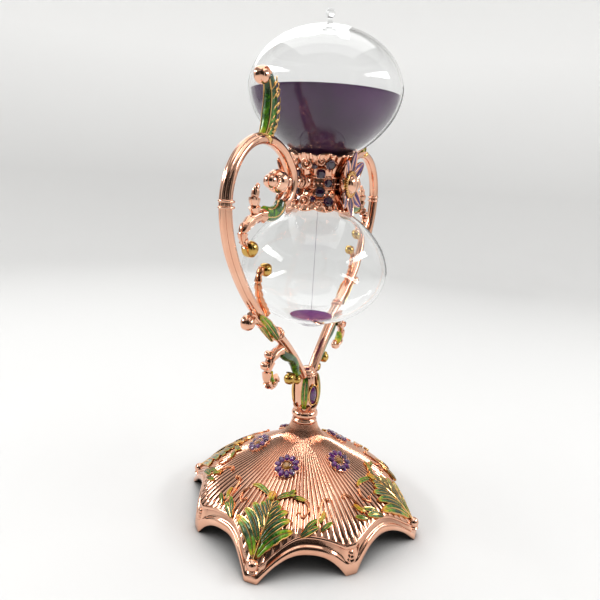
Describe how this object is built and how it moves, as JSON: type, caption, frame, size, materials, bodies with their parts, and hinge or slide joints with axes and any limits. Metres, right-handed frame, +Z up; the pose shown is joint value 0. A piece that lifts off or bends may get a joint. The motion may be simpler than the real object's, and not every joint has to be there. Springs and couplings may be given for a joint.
{
  "type": "ornamental tilting hourglass",
  "caption": "Twin-bulb sand glass that turns end over end in a jewelled collar, between scrolled arms on a scalloped cast foot.",
  "frame": {"origin": "centre of the foot on the surface it stands on", "axes": "+Z up, the glass's pivot axis along X, the collar's front flower towards -Y"},
  "size_m": [0.181, 0.144, 0.2812],
  "materials": {
    "rose_gold": "polished rose gold plating on zinc alloy",
    "yellow_gold": "polished yellow gold plating",
    "green_enamel": "glossy translucent enamel in gold cells",
    "purple_enamel": "glossy enamel with rose gold edges",
    "purple_stone": "cut purple crystal",
    "dark_stone": "cut dark purple crystal",
    "topaz_stone": "cut brown crystal",
    "clear_glass": "clear blown glass",
    "purple_sand": "fine purple sand",
    "sleeve_rubber": "soft silicone",
    "steel": "zinc plated steel"
  },
  "bodies": {
    "stand": {"base_dome": "rose_gold", "tip_beads": "rose_gold", "leaf_sprays": "green_enamel", "side_sprigs": "green_enamel", "flower_settings": "rose_gold", "petal_stones": "purple_stone", "centre_stones": "topaz_stone", "neck_ring": "rose_gold", "stem": "rose_gold", "base_stud": "steel", "base_washer": "steel", "base_nut": "steel", "gem_bezels": "yellow_gold", "stem_gems": "purple_stone", "stem_leaves": "green_enamel", "left_arm": "rose_gold", "left_finial_ball": "rose_gold", "left_finial_leaf": "green_enamel", "left_scroll_calyx": "green_enamel", "left_scroll_ball": "yellow_gold", "left_scroll_leaves": "rose_gold", "left_tendril_ball": "yellow_gold", "left_tendril": "rose_gold", "left_arm_leaf_ball": "rose_gold", "left_arm_leaf": "green_enamel", "left_root_curl": "rose_gold", "left_root_arch": "green_enamel", "left_root_leaf": "rose_gold", "left_pivot_pin": "steel", "left_pivot_bead": "rose_gold", "left_pivot_knob": "rose_gold", "right_arm": "rose_gold", "right_finial_ball": "rose_gold", "right_finial_leaf": "green_enamel", "right_scroll_calyx": "green_enamel", "right_scroll_ball": "yellow_gold", "right_scroll_leaves": "rose_gold", "right_tendril_ball": "yellow_gold", "right_tendril": "rose_gold", "right_arm_leaf_ball": "rose_gold", "right_arm_leaf": "green_enamel", "right_root_curl": "rose_gold", "right_root_arch": "green_enamel", "right_root_leaf": "rose_gold", "right_pivot_pin": "steel", "right_pivot_bead": "rose_gold", "right_pivot_knob": "rose_gold"},
    "glass": {"glass_bulbs": "clear_glass", "upper_sand": "purple_sand", "lower_sand": "purple_sand", "sand_stream": "purple_sand", "neck_sleeve": "sleeve_rubber", "upper_collar": "rose_gold", "lower_collar": "rose_gold", "waist_band": "rose_gold", "collar_stones": "dark_stone", "collar_flowers": "purple_enamel", "flower_rings": "rose_gold", "flower_bosses": "rose_gold"}
  },
  "joints": [
    {"name": "glass_turn", "type": "hinge", "parent": "stand", "child": "glass", "pos_m": [0, 0, 0.1954], "axis": [1, 0, 0], "continuous": true}
  ]
}
